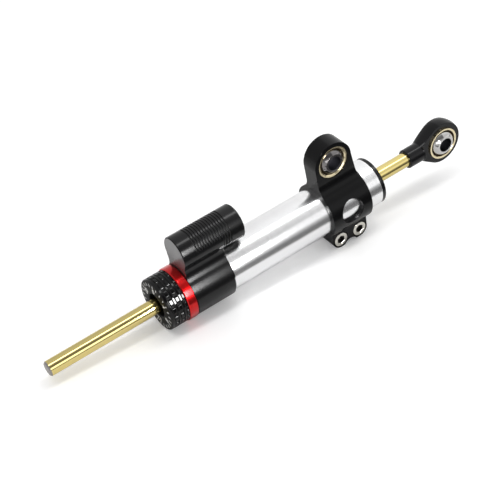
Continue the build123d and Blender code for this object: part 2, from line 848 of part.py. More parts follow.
def pieces():
    """Every piece by its name, drawn along the rod."""
    return {
        "piston_rod": piston_rod(),
        "piston": piston(),
        "piston_ring": piston_ring(),
        "piston_clips": piston_clips(),
        "rod_end_body": rod_end_body(),
        "rod_end_race": bearing_race(eye_width / 2, eye_x, 0),
        "rod_end_ball": bearing_ball(eye_x, 0),
        "damper_tube": damper_tube(),
        "head_block": head_block(),
        "head_guide_bush": rod_bush(bush_left_x),
        "head_rod_seal": rod_seal(seal_left_x, 1),
        "head_rod_wiper": rod_wiper(wiper_left_x, -1),
        "neck_o_rings": neck_o_rings(),
        "knob_snap_ring": knob_snap_ring(),
        "spacer_ring": spacer_ring(),
        "click_ball": click_ball(),
        "click_spring": click_spring(),
        "end_cap": end_cap(),
        "end_cap_o_ring": end_cap_o_ring(),
        "cap_guide_bush": rod_bush(bush_right_x),
        "cap_rod_seal": rod_seal(seal_right_x, -1),
        "cap_rod_wiper": rod_wiper(wiper_right_x, 1),
        "reservoir_cap": reservoir_cap(),
        "reservoir_cap_o_ring": reservoir_cap_o_ring(),
        "reservoir_clip": reservoir_clip(),
        "fill_screw": fill_screw(),
        "floating_piston": floating_piston(),
        "floating_piston_o_ring": floating_piston_o_ring(),
        "adjuster_knob": adjuster_knob(),
        "metering_sleeve": metering_sleeve(),
        "clamp": clamp(),
        "clamp_screws": clamp_screws(),
        "ear_race": bearing_race(ear_width / 2, ear_x, ear_height),
        "ear_ball": bearing_ball(ear_x, ear_height),
    }


os.makedirs("parts", exist_ok=True)
for name, shape in pieces().items():
    export_step(placed(shape), f"parts/{name}.step")
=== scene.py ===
import json
import math

import bmesh
import bpy
from mathutils import Matrix, Vector

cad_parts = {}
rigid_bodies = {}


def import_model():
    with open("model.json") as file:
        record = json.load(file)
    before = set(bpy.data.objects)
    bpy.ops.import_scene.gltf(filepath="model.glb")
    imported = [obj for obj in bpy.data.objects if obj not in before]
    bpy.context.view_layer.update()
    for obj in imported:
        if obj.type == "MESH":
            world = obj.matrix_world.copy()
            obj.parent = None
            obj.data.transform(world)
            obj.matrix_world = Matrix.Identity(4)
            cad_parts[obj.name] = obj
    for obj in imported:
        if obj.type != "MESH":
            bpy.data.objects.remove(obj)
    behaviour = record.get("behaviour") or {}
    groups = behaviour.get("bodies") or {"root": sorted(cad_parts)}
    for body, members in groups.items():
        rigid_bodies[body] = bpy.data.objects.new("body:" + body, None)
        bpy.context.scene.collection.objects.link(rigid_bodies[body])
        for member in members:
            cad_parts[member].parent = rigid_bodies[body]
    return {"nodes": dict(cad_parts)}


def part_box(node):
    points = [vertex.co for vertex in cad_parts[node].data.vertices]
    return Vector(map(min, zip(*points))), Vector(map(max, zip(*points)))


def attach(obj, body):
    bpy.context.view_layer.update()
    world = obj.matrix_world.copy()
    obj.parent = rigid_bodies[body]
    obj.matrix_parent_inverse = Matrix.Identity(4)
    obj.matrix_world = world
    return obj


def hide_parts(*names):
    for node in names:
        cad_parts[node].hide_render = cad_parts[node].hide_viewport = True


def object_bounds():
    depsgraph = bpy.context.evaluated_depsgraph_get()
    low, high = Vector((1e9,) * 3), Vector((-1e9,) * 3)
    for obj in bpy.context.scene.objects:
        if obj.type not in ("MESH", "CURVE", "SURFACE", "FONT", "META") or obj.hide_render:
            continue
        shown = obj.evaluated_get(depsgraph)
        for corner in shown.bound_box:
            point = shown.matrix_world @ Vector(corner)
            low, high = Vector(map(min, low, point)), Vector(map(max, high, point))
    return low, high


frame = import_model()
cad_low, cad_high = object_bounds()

nodes = frame["nodes"]


# Piston rod: one bar of hardened steel through the whole damper, ground, polished and coated gold.
# Its bare tip is sawn off square, so that the end face and its chamfer show the steel.

class Feed:
    """A socket in a material's tree. Sums and products on it add Math nodes."""

    def __init__(self, tree, socket=None):
        self.tree = tree
        self.socket = socket

    def node(self, kind, settings=None, values=None, out=0):
        """Add a node: its settings first, then the values or links of its sockets."""
        made = self.tree.nodes.new(kind)
        for name, value in (settings or {}).items():
            if name == "stops":
                stops = made.color_ramp.elements
                stops.remove(stops[1])
                for i, (place, colour) in enumerate(value):
                    stop = stops[0] if i == 0 else stops.new(place)
                    stop.position = place
                    stop.color = (*colour, 1)
            else:
                setattr(made, name, value)
        for name, value in (values or {}).items():
            if isinstance(value, Feed):
                self.tree.links.new(value.socket, made.inputs[name])
            else:
                made.inputs[name].default_value = value
        return Feed(self.tree, made.outputs[out] if made.outputs else None)

    def maths(self, operation, first, second=0.0):
        return self.node("ShaderNodeMath", {"operation": operation}, {0: first, 1: second})

    def __add__(self, other):
        return self.maths("ADD", self, other)

    __radd__ = __add__

    def __sub__(self, other):
        return self.maths("SUBTRACT", self, other)

    def __rsub__(self, other):
        return self.maths("SUBTRACT", other, self)

    def __mul__(self, other):
        return self.maths("MULTIPLY", self, other)

    __rmul__ = __mul__

    def __lt__(self, other):
        return self.maths("LESS_THAN", self, other)

    def __gt__(self, other):
        return self.maths("GREATER_THAN", self, other)


def start_finish(name):
    """New material with an empty tree, and a feed to build on."""
    made = bpy.data.materials.new(name)
    made.use_nodes = True
    made.node_tree.nodes.clear()
    return made, Feed(made.node_tree)


def place_on(feed, stretch=(1, 1, 1), centre=(0, 0, 0)):
    """Object coordinates about a centre, stretched for a pattern that runs one way."""
    here = feed.node("ShaderNodeTexCoord", out="Object")
    moved = feed.node("ShaderNodeVectorMath", {"operation": "SUBTRACT"}, {0: here, 1: centre})
    return feed.node("ShaderNodeVectorMath", {"operation": "MULTIPLY"}, {0: moved, 1: stretch})


def grain(feed, vector, scale, detail=3.0):
    """Noise from 0 to 1."""
    return feed.node("ShaderNodeTexNoise", None, {"Vector": vector, "Scale": scale, "Detail": detail})


def mixed(feed, share, first, second):
    """Two colours mixed by a share."""
    return feed.node("ShaderNodeMix", {"data_type": "RGBA"},
                     {0: share, 6: (*first, 1) if isinstance(first, tuple) else first,
                      7: (*second, 1) if isinstance(second, tuple) else second}, out=2)


def shade(feed, values, height=None, depth=0.00002, edge=0.0):
    """Main shader with an optional relief and softly broken edges."""
    if edge:
        values["Normal"] = feed.node("ShaderNodeBevel", {"samples": 6}, {"Radius": edge})
    if height:
        relief = {"Height": height, "Strength": 1.0, "Distance": depth}
        if edge:
            relief["Normal"] = values["Normal"]
        values["Normal"] = feed.node("ShaderNodeBump", None, relief)
    shader = feed.node("ShaderNodeBsdfPrincipled", None, values)
    feed.node("ShaderNodeOutputMaterial", None, {"Surface": shader})


def coordinate(feed, letter):
    """One object coordinate."""
    return feed.node("ShaderNodeSeparateXYZ", None, {0: place_on(feed)}, out=letter)


def dress(finish, *names):
    """Give CAD nodes their finish."""
    for name in names:
        for slot in nodes[name].material_slots:
            slot.material = finish


rod_low, rod_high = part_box("piston_rod")
rod_z = (rod_low.z + rod_high.z) / 2
bare_tip = 0.00075
gold_coating, feed = start_finish("gold_coating")
bare = coordinate(feed, "X") < rod_low.x + bare_tip
drag = grain(feed, place_on(feed, (18, 900, 900)), 1.0)
cloud = grain(feed, place_on(feed), 60.0)
gold = mixed(feed, cloud, (0.72, 0.59, 0.22), (0.80, 0.66, 0.28))
sawn_steel = (0.33, 0.31, 0.30)
shade(feed, {
    "Base Color": mixed(feed, bare, gold, sawn_steel),
    "Metallic": 1.0,
    "Roughness": 0.07 + drag * 0.06 + bare * 0.3,
}, height=drag, depth=0.000002, edge=0.0001)
dress(gold_coating, "piston_rod")


# Damper tube: seamless aluminium tube, turned and then polished on the lathe, so fine rings run round it.
# It is screwed into the collar of the head, and the clamp grips it from outside.

polished_tube, feed = start_finish("polished_aluminium")
turned = grain(feed, place_on(feed, (5000, 8, 8)), 1.0, 2.0)
haze = grain(feed, place_on(feed, (12, 60, 60)), 1.0)
shade(feed, {
    "Base Color": mixed(feed, haze, (0.90, 0.90, 0.91), (0.95, 0.95, 0.955)),
    "Metallic": 1.0,
    "Roughness": 0.15 + turned * 0.04 + haze * 0.04,
}, height=turned, depth=0.00004, edge=0.00015)
dress(polished_tube, "damper_tube")


# Head block: one milled and turned block, the collar below and the reservoir with its turned grooves above.
# The web between them is hollowed by a ball-nosed cutter at the front as well as at the back.
# It is anodised black and held by the tube's thread; the lathe leaves faint rings round both cylinders.

head_low, head_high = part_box("head_block")
clip_low, clip_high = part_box("reservoir_clip")
collar_radius = head_high.y
reservoir_z = (clip_low.z + clip_high.z) / 2
reservoir_radius = head_high.z - reservoir_z
half_groove = 0.00025
neck_length = 0.0127
collar_length = 0.0232
left_face = head_low.x + neck_length
web_end = left_face + collar_length
web_hollow = 0.008
faced_before = left_face + 0.00005
# Heights between which the faced left end turns from painted shade below to painted reflection above.
painted_shade_below = reservoir_z - 0.012
painted_light_above = reservoir_z + 0.003
grooves_above = reservoir_z - 0.004


def away_from(feed, across, centre):
    """Distance from an axis through centre; across has a 1 for each coordinate that counts."""
    away = place_on(feed, across, centre)
    return feed.node("ShaderNodeVectorMath", {"operation": "LENGTH"}, {0: away}, out="Value")


def black_finish(name, edge, shine=0.34, head=False):
    """Black anodising. On the head the faced left end is painted lighter, a painted reflection of the floor,
    with painted shade towards its bottom; the grooves are dull and darkened with painted shade.
    """
    made, feed = start_finish(name)
    rings = grain(feed, place_on(feed, (2600, 30, 30)), 1.0, 2.0)
    pores = grain(feed, place_on(feed), 2500.0)
    handling = grain(feed, place_on(feed), 45.0)
    colour = mixed(feed, handling, (0.0018, 0.0018, 0.0022), (0.004, 0.004, 0.0045))
    roughness = 0.15 + handling * 0.06 + rings * 0.05
    if head:
        # The faced left end is painted lighter, a painted reflection of the floor, and darker towards its
        # bottom as painted shade.
        height = coordinate(feed, "Z")
        faced = coordinate(feed, "X") < faced_before
        painted_light_share = feed.node("ShaderNodeMapRange", {"interpolation_type": "SMOOTHSTEP"},
                          {"Value": height, "From Min": painted_shade_below, "From Max": painted_light_above})
        face_painted_shade_and_reflection = mixed(feed, painted_light_share, (0.02, 0.02, 0.02), (0.19, 0.19, 0.193))
        colour = mixed(feed, faced, colour, face_painted_shade_and_reflection)
        roughness = roughness - faced * 0.05
        # The groove floors get a darker base colour, painted shade in the recesses, and more roughness.
        in_groove = away_from(feed, (0, 1, 1), (0, 0, reservoir_z)) < reservoir_radius - half_groove
        low = in_groove * (height > grooves_above) * (1 - faced)
        colour = mixed(feed, low, colour, (0.0008, 0.0008, 0.001))
        roughness = roughness + low * 0.4
    shade(feed, {
        "Base Color": colour,
        "Roughness": roughness,
        "Specular IOR Level": shine,
    }, height=rings * 0.7 + pores * 0.3, depth=0.000005, edge=edge)
    return made


def arc(centre, radius, start, stop, count):
    """Points of a circle seen along the rod, by the turn from straight up towards the front."""
    turns = [start + (stop - start) * i / count for i in range(count + 1)]
    return [(centre[0] + radius * math.sin(t), centre[1] + radius * math.cos(t)) for t in turns]


rise = reservoir_z - rod_z
low_reach = collar_radius + web_hollow
high_reach = reservoir_radius + web_hollow
middle_z = (low_reach ** 2 - high_reach ** 2 + rise ** 2) / (2 * rise)
middle_y = math.sqrt(low_reach ** 2 - middle_z ** 2)


def hollow_section():
    """What the cutter takes from the web's front, outside the collar, the hollow and the reservoir."""
    slope = math.acos((collar_radius - reservoir_radius) / rise)
    low_turn = math.atan2(middle_y, middle_z)
    high_turn = math.atan2(middle_y, middle_z - rise)
    skin = 0.00001
    room = 0.004
    section = arc((0, 0), collar_radius + skin, slope, low_turn, 14)
    section += arc((middle_y, middle_z), web_hollow - skin,
                   low_turn + math.pi, high_turn + math.pi, 24)[1:-1]
    section += arc((0, rise), reservoir_radius + skin, high_turn, slope, 14)
    for front, up in (section[-1], section[0]):
        section.append((front + room * math.sin(slope), up + room * math.cos(slope)))
    return section


def add_object(name, data):
    """New object in the scene."""
    made = bpy.data.objects.new(name, data)
    bpy.context.scene.collection.objects.link(made)
    return made


def bar_from(name, section, start, stop):
    """Closed bar along the rod with that section of (front, up) points."""
    shell = bmesh.new()
    ends = [[shell.verts.new((x, -front, rod_z + up)) for front, up in section] for x in (start, stop)]
    for i in range(len(section)):
        j = (i + 1) % len(section)
        shell.faces.new((ends[0][i], ends[1][i], ends[1][j], ends[0][j]))
    shell.faces.new(ends[0])
    shell.faces.new(list(reversed(ends[1])))
    bmesh.ops.recalc_face_normals(shell, faces=shell.faces)
    made = bpy.data.meshes.new(name)
    shell.to_mesh(made)
    shell.free()
    return add_object(name, made)


def mend(mesh, gap=None, outward=True):
    """Join the points of a mesh that lie within gap of each other, and turn its faces outward."""
    shell = bmesh.new()
    shell.from_mesh(mesh)
    if gap:
        bmesh.ops.remove_doubles(shell, verts=shell.verts, dist=gap)
    if outward:
        bmesh.ops.recalc_face_normals(shell, faces=shell.faces)
    shell.to_mesh(mesh)
    shell.free()


def smooth(mesh, corner=None):
    """Shade a mesh smoothly, apart from the corners sharper than that many degrees."""
    mesh.polygons.foreach_set("use_smooth", [True] * len(mesh.polygons))
    if corner:
        mesh.set_sharp_from_angle(angle=math.radians(corner))


def turned_about(mesh, face, axes):
    """The (y, z) of the axis that a face was turned about, with 1 for outside or -1 for inside."""
    nearest, too_near, even, end_on = 0.965, 0.0001, 0.00003, 0.05
    flat = face.normal
    level = math.hypot(flat.y, flat.z)
    found = None
    if level <= end_on:
        return found
    for y, z in axes:
        away = (face.center.y - y, face.center.z - z)
        reach = math.hypot(*away)
        if reach < too_near:
            continue
        facing = (away[0] * flat.y + away[1] * flat.z) / reach / level
        points = [mesh.vertices[v].co for v in face.vertices]
        radii = [math.hypot(co.y - y, co.z - z) for co in points]
        if abs(facing) > nearest and (max(radii) - min(radii) < even or abs(flat.x) > end_on):
            nearest = abs(facing)
            found = (y, z, math.copysign(1.0, facing))
    return found


def round_normals(mesh, axes):
    """True normals on the surfaces turned about axes along the rod; the flat faces keep their own."""
    normals = []
    for face in mesh.polygons:
        flat = face.normal
        axis = turned_about(mesh, face, axes)
        for v in face.vertices:
            if axis is None:
                normals.append(flat.copy())
                continue
            co = mesh.vertices[v].co
            out = Vector((0.0, co.y - axis[0], co.z - axis[1])).normalized()
            out *= axis[2] * math.hypot(flat.y, flat.z)
            normals.append(Vector((flat.x, out.y, out.z)).normalized())
    mesh.normals_split_custom_set(normals)


head_black = black_finish("head_black", 0.00007, head=True)
overrun = 0.002
blank_mesh = nodes["head_block"].data.copy()
mend(blank_mesh, 0.0000005, outward=False)
blank = add_object("head_blank", blank_mesh)
cutter = bar_from("hollow_cutter", hollow_section(), left_face - overrun, web_end + overrun)
cut = blank.modifiers.new("hollow", "BOOLEAN")
cut.operation = "DIFFERENCE"
cut.solver = "EXACT"
cut.object = cutter
bpy.context.view_layer.update()
head_mesh = bpy.data.meshes.new_from_object(blank.evaluated_get(bpy.context.evaluated_depsgraph_get()))
bpy.data.objects.remove(cutter)
bpy.data.objects.remove(blank)
head_mesh.name = "head"
head_mesh.materials.clear()
head_mesh.materials.append(head_black)
head_mesh.polygons.foreach_set("material_index", [0] * len(head_mesh.polygons))
smooth(head_mesh)
round_normals(head_mesh, [(0.0, rod_z), (0.0, reservoir_z),
                          (-middle_y, rod_z + middle_z), (middle_y, rod_z + middle_z)])
head = add_object("head", head_mesh)
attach(head, "cylinder")
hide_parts("head_block")


# Reservoir's end: a flat black cap held by a wire clip, with a stainless fill screw in its middle.
# The clip sits in a groove of the reservoir's bore.

black_anodised = black_finish("black_anodised", 0.0002)
dress(black_anodised, "reservoir_cap")
spring_steel, feed = start_finish("spring_steel")
wire = grain(feed, place_on(feed), 700.0)
shade(feed, {
    "Base Color": mixed(feed, wire, (0.36, 0.36, 0.37), (0.48, 0.48, 0.49)),
    "Metallic": 1.0,
    "Roughness": 0.24 + wire * 0.14,
}, height=wire, depth=0.000003)
dress(spring_steel, "reservoir_clip", "knob_snap_ring", "piston_clips", "click_spring")
stainless, feed = start_finish("stainless")
turning = grain(feed, place_on(feed, (300, 300, 300)), 1.0, 4.0)
shade(feed, {
    "Base Color": mixed(feed, turning, (0.60, 0.59, 0.56), (0.70, 0.69, 0.66)),
    "Metallic": 1.0,
    "Roughness": 0.16 + turning * 0.14,
}, height=turning, depth=0.000004, edge=0.0001)
dress(stainless, "fill_screw")


# Spacer ring: red anodised aluminium, turned bright, between the head and the knob.
# The clear layer over the dye gives it a white gleam on the red.

red_anodised, feed = start_finish("red_anodised")
lathe = grain(feed, place_on(feed, (3200, 20, 20)), 1.0, 2.0)
shade(feed, {
    "Base Color": mixed(feed, lathe, (0.56, 0.004, 0.005), (0.68, 0.007, 0.008)),
    "Metallic": 1.0,
    "Roughness": 0.18 + lathe * 0.08,
    "Coat Weight": 0.5,
    "Coat Roughness": 0.06,
}, height=lathe, depth=0.000004, edge=0.00015)
dress(red_anodised, "spacer_ring")


# Adjuster knob: black anodised aluminium, turned with three smooth ribs, and with rows of pads between them
# that are left when pockets are milled round it. It is polished brighter than the head.

knob_low, knob_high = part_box("adjuster_knob")
knob_radius = (knob_high.y - knob_low.y) / 2
knob_front = knob_low.x
eye_radius = 0.0065
eye_depth = 0.0027
eye_corner = 0.0004
face_corner = 0.0007
face_round = 0.00025
cup_radius = 0.01076
cup_depth = 0.0042
ledge_radius = 0.00965
band_length = 0.0017
row_length = 0.0016
rib_length = 0.0010
rib_groove = 0.00045
rib_groove_depth = 0.00045
rib_corner = 0.00009
row_depth = 0.00085
pad_columns = 18
pad_corner = 0.00014
pad_foot = 0.0003
first_pad_turn = math.radians(5)
polished_above = knob_radius - 0.0002
row_pitch = 2 * rib_groove + row_length + rib_length
first_row = band_length + rib_groove


def turned_piece(name, outline, centre, steps, finish):
    """Closed solid turned about X through centre, from (x, radius) points that go round its section."""
    made = bpy.data.meshes.new(name)
    verts, faces = [], []
    for x, radius in outline:
        for i in range(steps):
            turn = 2 * math.pi * i / steps
            verts.append((x, centre[0] + radius * math.sin(turn), centre[1] + radius * math.cos(turn)))
    for a in range(len(outline)):
        b = (a + 1) % len(outline)
        for i in range(steps):
            j = (i + 1) % steps
            faces.append((a * steps + i, b * steps + i, b * steps + j, a * steps + j))
    made.from_pydata(verts, [], faces)
    mend(made)
    smooth(made, 32)
    made.materials.append(finish)
    return add_object(name, made)


def gloss(name, dark, light, roughness, shine):
    """Polished black anodising with faint handling marks, left dull in the grooves and pockets."""
    made, feed = start_finish(name)
    marks = grain(feed, place_on(feed), 160.0)
    low = away_from(feed, (0, 1, 1), (0, 0, rod_z)) < polished_above
    shade(feed, {
        "Base Color": mixed(feed, marks, dark, light),
        "Roughness": roughness + marks * 0.06 + low * 0.5,
        "Specular IOR Level": shine,
    }, height=marks, depth=0.000002, edge=0.00006)
    return made


knob_gloss = gloss("knob_gloss", (0.0008, 0.0008, 0.001), (0.002, 0.002, 0.0025), 0.03, 0.3)
knob_face = gloss("knob_face", (0.001, 0.001, 0.0012), (0.002, 0.002, 0.0025), 0.05, 0.2)


def rib(start, stop, left_floor, right_floor):
    """Section of one smooth rib with broken corners, between two floors."""
    return [
        (start, left_floor),
        (start, knob_radius - rib_corner),
        (start + rib_corner, knob_radius),
        (stop - rib_corner, knob_radius),
        (stop, knob_radius - rib_corner),
        (stop, right_floor),
    ]


groove_radius = knob_radius - rib_groove_depth
row_radius = knob_radius - row_depth
drum_outline = [
    (knob_front + eye_depth, eye_radius),
    (knob_front + eye_corner, eye_radius),
    (knob_front, eye_radius + eye_corner),
    (knob_front, knob_radius - face_corner),
    (knob_front + face_round, knob_radius - face_round),
    (knob_front + face_corner, knob_radius),
    (knob_front + band_length - rib_corner, knob_radius),
    (knob_front + band_length, knob_radius - rib_corner),
    (knob_front + band_length, groove_radius),
]
for k in range(2):
    row = knob_front + first_row + k * row_pitch
    drum_outline += [(row, groove_radius), (row, row_radius), (row + row_length, row_radius)]
    drum_outline += [(row + row_length, groove_radius)]
    rib_start = row + row_length + rib_groove
    drum_outline += rib(rib_start, rib_start + rib_length, groove_radius, groove_radius)
last_row = knob_front + first_row + 2 * row_pitch
drum_outline += [
    (last_row, groove_radius),
    (last_row, row_radius),
    (knob_high.x, row_radius),
    (knob_high.x, cup_radius),
    (knob_front + cup_depth, cup_radius),
    (knob_front + cup_depth, ledge_radius),
    (knob_front + eye_depth, ledge_radius),
]
knob_drum = turned_piece("knob_drum", drum_outline, (0.0, rod_z), 144, knob_gloss)
knob_drum.data.materials.append(knob_face)
for face in knob_drum.data.polygons:
    if face.center.x < knob_front + 0.0001:
        face.material_index = 1


def pad_tile(name, length):
    """One pad with half a pocket on each side, a closed slice of the row; its middle is at the top.

    The profile, in millimetres, goes from the pad's middle to the pocket's: how far round, and how deep.
    """
    profile = ((0.0, 0.0), (0.65, 0.0), (1.3, 0.0), (1.46, 0.03), (1.58, 0.10), (1.67, 0.22),
               (1.73, 0.38), (1.80, 0.58), (1.98, 0.76), (2.46, 0.80))
    half_turn = math.pi / pad_columns
    sweep = half_turn / (profile[-1][0] / 1000)
    across = [(-t, drop) for t, drop in reversed(profile[1:])] + list(profile)
    along = [(-length / 2, pad_corner), (-length / 2 + 0.00005, 0.00004), (-length / 2 + pad_corner, 0.0)]
    along += [(-x, drop) for x, drop in reversed(along)]
    inner = knob_radius - row_depth - pad_foot
    shell = bmesh.new()
    columns = []
    for t, drop in across:
        turn = t / 1000 * sweep
        heights = [(x, knob_radius - drop / 1000 - extra) for x, extra in along]
        heights = [(along[0][0], inner)] + heights + [(along[-1][0], inner)]
        spots = [(x, r * math.sin(turn), r * math.cos(turn) - knob_radius) for x, r in heights]
        columns.append([shell.verts.new(spot) for spot in spots])
    for first, second in zip(columns, columns[1:]):
        for i in range(len(first)):
            j = (i + 1) % len(first)
            shell.faces.new((first[i], second[i], second[j], first[j]))
    made = bpy.data.meshes.new(name)
    shell.to_mesh(made)
    shell.free()
    return add_object(name, made)


class Nest:
    """A Geometry Nodes tree under construction, its named inputs and its nodes."""

    def __init__(self, name, inputs):
        self.tree = bpy.data.node_groups.new(name, "GeometryNodeTree")
        self.tree.interface.new_socket("Geometry", in_out="INPUT", socket_type="NodeSocketGeometry")
        self.ids = {}
        for label, (kind, value) in inputs.items():
            made = self.tree.interface.new_socket(label, in_out="INPUT", socket_type=kind)
            if value is not None:
                made.default_value = value
            self.ids[label] = made.identifier
        self.tree.interface.new_socket("Geometry", in_out="OUTPUT", socket_type="NodeSocketGeometry")
        self.inputs = self.tree.nodes.new("NodeGroupInput").outputs

    def node(self, kind, settings=None, values=None, out=0):
        """Add a node: its settings first, then the values or links of its sockets."""
        made = self.tree.nodes.new(kind)
        for name, value in (settings or {}).items():
            setattr(made, name, value)
        for name, value in (values or {}).items():
            if isinstance(value, bpy.types.NodeSocket):
                self.tree.links.new(value, made.inputs[name])
            else:
                made.inputs[name].default_value = value
        return made.outputs[out]

    def maths(self, operation, first, second=0.0):
        return self.node("ShaderNodeMath", {"operation": operation}, {0: first, 1: second})

    def close(self, geometry, finish):
        """Realize the copies, join what meets, give them their finish and end the tree."""
        real = self.node("GeometryNodeRealizeInstances", None, {0: geometry})
        near = {"Geometry": real, "Distance": 0.000002}
        joined = self.node("GeometryNodeMergeByDistance", None, near)
        done = self.node("GeometryNodeSetMaterial", None, {"Geometry": joined, "Material": finish})
        self.tree.links.new(done, self.tree.nodes.new("NodeGroupOutput").inputs[0])


def grow(name, nest, chosen):
    """Run a tree on an empty mesh, with the chosen inputs, and keep the result as a plain mesh."""
    seed = add_object(name + "_seed", bpy.data.meshes.new(name + "_seed"))
    modifier = seed.modifiers.new("grow", "NODES")
    modifier.node_group = nest.tree
    for label, value in chosen.items():
        modifier[nest.ids[label]] = value
    bpy.context.view_layer.update()
    grown = bpy.data.meshes.new_from_object(seed.evaluated_get(bpy.context.evaluated_depsgraph_get()))
    grown.name = name
    seed.modifiers.remove(modifier)
    bpy.data.objects.remove(seed)
    return add_object(name, grown)


round_rows = Nest("round_rows", {
    "Pad": ("NodeSocketObject", None),
    "Columns": ("NodeSocketInt", 18),
    "Rows": ("NodeSocketInt", 1),
    "First": ("NodeSocketFloat", 0.0),
    "Pitch": ("NodeSocketFloat", 0.001),
    "Radius": ("NodeSocketFloat", 0.01),
    "Height": ("NodeSocketFloat", 0.0),
    "Start": ("NodeSocketFloat", 0.0),
    "Finish": ("NodeSocketMaterial", None),
})
given = round_rows.inputs
count = round_rows.maths("MULTIPLY", given["Columns"], given["Rows"])
points = round_rows.node("GeometryNodePoints", None, {"Count": count})
index = round_rows.node("GeometryNodeInputIndex")
row = round_rows.maths("FLOOR", round_rows.maths("DIVIDE", index, given["Columns"]))
column = round_rows.maths("MODULO", index, given["Columns"])
share = round_rows.maths("DIVIDE", round_rows.maths("MULTIPLY", column, 2 * math.pi), given["Columns"])
turn = round_rows.maths("ADD", share, given["Start"])
along = round_rows.maths("ADD", given["First"], round_rows.maths("MULTIPLY", row, given["Pitch"]))
side = round_rows.maths("MULTIPLY", given["Radius"], round_rows.maths("SINE", turn))
upward = round_rows.maths("MULTIPLY", given["Radius"], round_rows.maths("COSINE", turn))
spot = round_rows.node("ShaderNodeCombineXYZ", None,
                       {0: along, 1: side, 2: round_rows.maths("ADD", upward, given["Height"])})
set_out = round_rows.node("GeometryNodeSetPosition", None, {"Geometry": points, "Position": spot})
tilt = round_rows.node("ShaderNodeCombineXYZ", None, {0: round_rows.maths("MULTIPLY", turn, -1.0)})
pad = round_rows.node("GeometryNodeObjectInfo", None, {"Object": given["Pad"]}, out="Geometry")
copies = round_rows.node("GeometryNodeInstanceOnPoints", None,
                         {"Points": set_out, "Instance": pad, "Rotation": tilt})
round_rows.close(copies, given["Finish"])

for name, length, rows, start in (("knob_pads", row_length, 2, first_row),
                                  ("knob_back_pads", knob_high.x - last_row, 1, last_row - knob_front)):
    seed = pad_tile(name + "_tile", length)
    pads = grow(name, round_rows, {
        "Pad": seed,
        "Columns": pad_columns,
        "Rows": rows,
        "First": knob_front + start + length / 2,
        "Pitch": row_pitch,
        "Radius": knob_radius,
        "Height": rod_z,
        "Start": first_pad_turn,
        "Finish": knob_gloss,
    })
    bpy.data.objects.remove(seed)
    mend(pads.data)
    smooth(pads.data, 20)
    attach(pads, "knob")
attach(knob_drum, "knob")
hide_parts("adjuster_knob")


# Scale on the knob's face: white ticks, one for each click, and plain numbers at every fourth.
# They are printed on the flat face round the rod.

scale_white, feed = start_finish("scale_white")
print_wear = grain(feed, place_on(feed), 1500.0)
shade(feed, {
    "Base Color": mixed(feed, print_wear, (0.86, 0.86, 0.86), (0.95, 0.95, 0.95)),
    "Roughness": 0.45 + print_wear * 0.2,
})
clicks = 24
tick_half = 0.00026
tick_length = 0.0019
ticks_from = 0.0109
figures_at = 0.0090
figure_size = 0.0038
figure_weight = 0.00008
print_depth = 0.00006
print_proud = 0.00001
tick_mesh = bpy.data.meshes.new("tick")
tick_corners = ((-tick_half, 0), (tick_half, 0), (tick_half, tick_length), (-tick_half, tick_length))
tick_mesh.from_pydata([(x, y, z) for x in (0, print_depth) for y, z in tick_corners], [],
                      [(0, 3, 2, 1), (4, 5, 6, 7), (0, 1, 5, 4), (1, 2, 6, 5), (2, 3, 7, 6), (3, 0, 4, 7)])
tick_seed = add_object("tick", tick_mesh)
scale_ticks = grow("scale_ticks", round_rows, {
    "Pad": tick_seed,
    "Columns": clicks,
    "Rows": 1,
    "First": knob_front - print_proud,
    "Radius": ticks_from,
    "Height": rod_z,
    "Start": 0.0,
    "Finish": scale_white,
})
bpy.data.objects.remove(tick_seed)
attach(scale_ticks, "knob")
for number in range(0, clicks, 4):
    turn = 2 * math.pi * number / clicks
    figure = bpy.data.curves.new("figure", "FONT")
    figure.body = str(number)
    figure.size = figure_size
    figure.align_x = "CENTER"
    figure.align_y = "CENTER"
    figure.offset = figure_weight
    figure.extrude = print_depth / 2
    letter = add_object("figure", figure)
    bpy.context.view_layer.update()
    flat = bpy.data.meshes.new_from_object(letter.evaluated_get(bpy.context.evaluated_depsgraph_get()))
    bpy.data.objects.remove(letter)
    mend(flat, 0.0000002)
    stood_up = Matrix.Rotation(math.radians(-90), 4, "Z") @ Matrix.Rotation(math.radians(90), 4, "X")
    flat.transform(Matrix.Translation((knob_front + print_depth / 2 - print_proud, 0, rod_z))
                   @ Matrix.Rotation(turn, 4, "X") @ Matrix.Translation((0, 0, figures_at)) @ stood_up)
    flat.materials.clear()
    flat.materials.append(scale_white)
    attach(add_object("scale_figure_%d" % number, flat), "knob")


# End cap: black cap in the right end of the tube; only its rim shows, as a thin ring.
# The wiper of the rod looks out of its middle.

dress(black_anodised, "end_cap")
seal_rubber, feed = start_finish("seal_rubber")
matt = grain(feed, place_on(feed), 1800.0)
shade(feed, {
    "Base Color": mixed(feed, matt, (0.012, 0.012, 0.012), (0.025, 0.025, 0.025)),
    "Roughness": 0.55 + matt * 0.2,
}, height=matt, depth=0.00001)
dress(seal_rubber, "cap_rod_wiper", "head_rod_wiper", "cap_rod_seal", "head_rod_seal", "neck_o_rings",
      "end_cap_o_ring", "reservoir_cap_o_ring", "floating_piston_o_ring")


# Clamp: milled from one black anodised block, an ear above the tube, a round window in the barrel
# and two lugs with a slit between them below.

clamp_black = black_finish("clamp_black", 0.00025, 0.17)
dress(clamp_black, "clamp")


# Clamp screws: two stainless socket-head screws, sunk in round seats of the front lug.
# The head is turned with a broken edge, and the socket is a hexagon with a conical floor.

screw_low, screw_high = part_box("clamp_screws")
screw_head = 0.0041
screw_across = 0.0040
screw_pitch = screw_high.x - screw_low.x - 2 * screw_head
screw_steps = 72
screw_socket_from = 10


def hexagon(across, turn):
    """Distance from the middle to the side of a hexagon at that turn."""
    third = math.pi / 3
    return across / 2 / math.cos((turn % third) - third / 2)


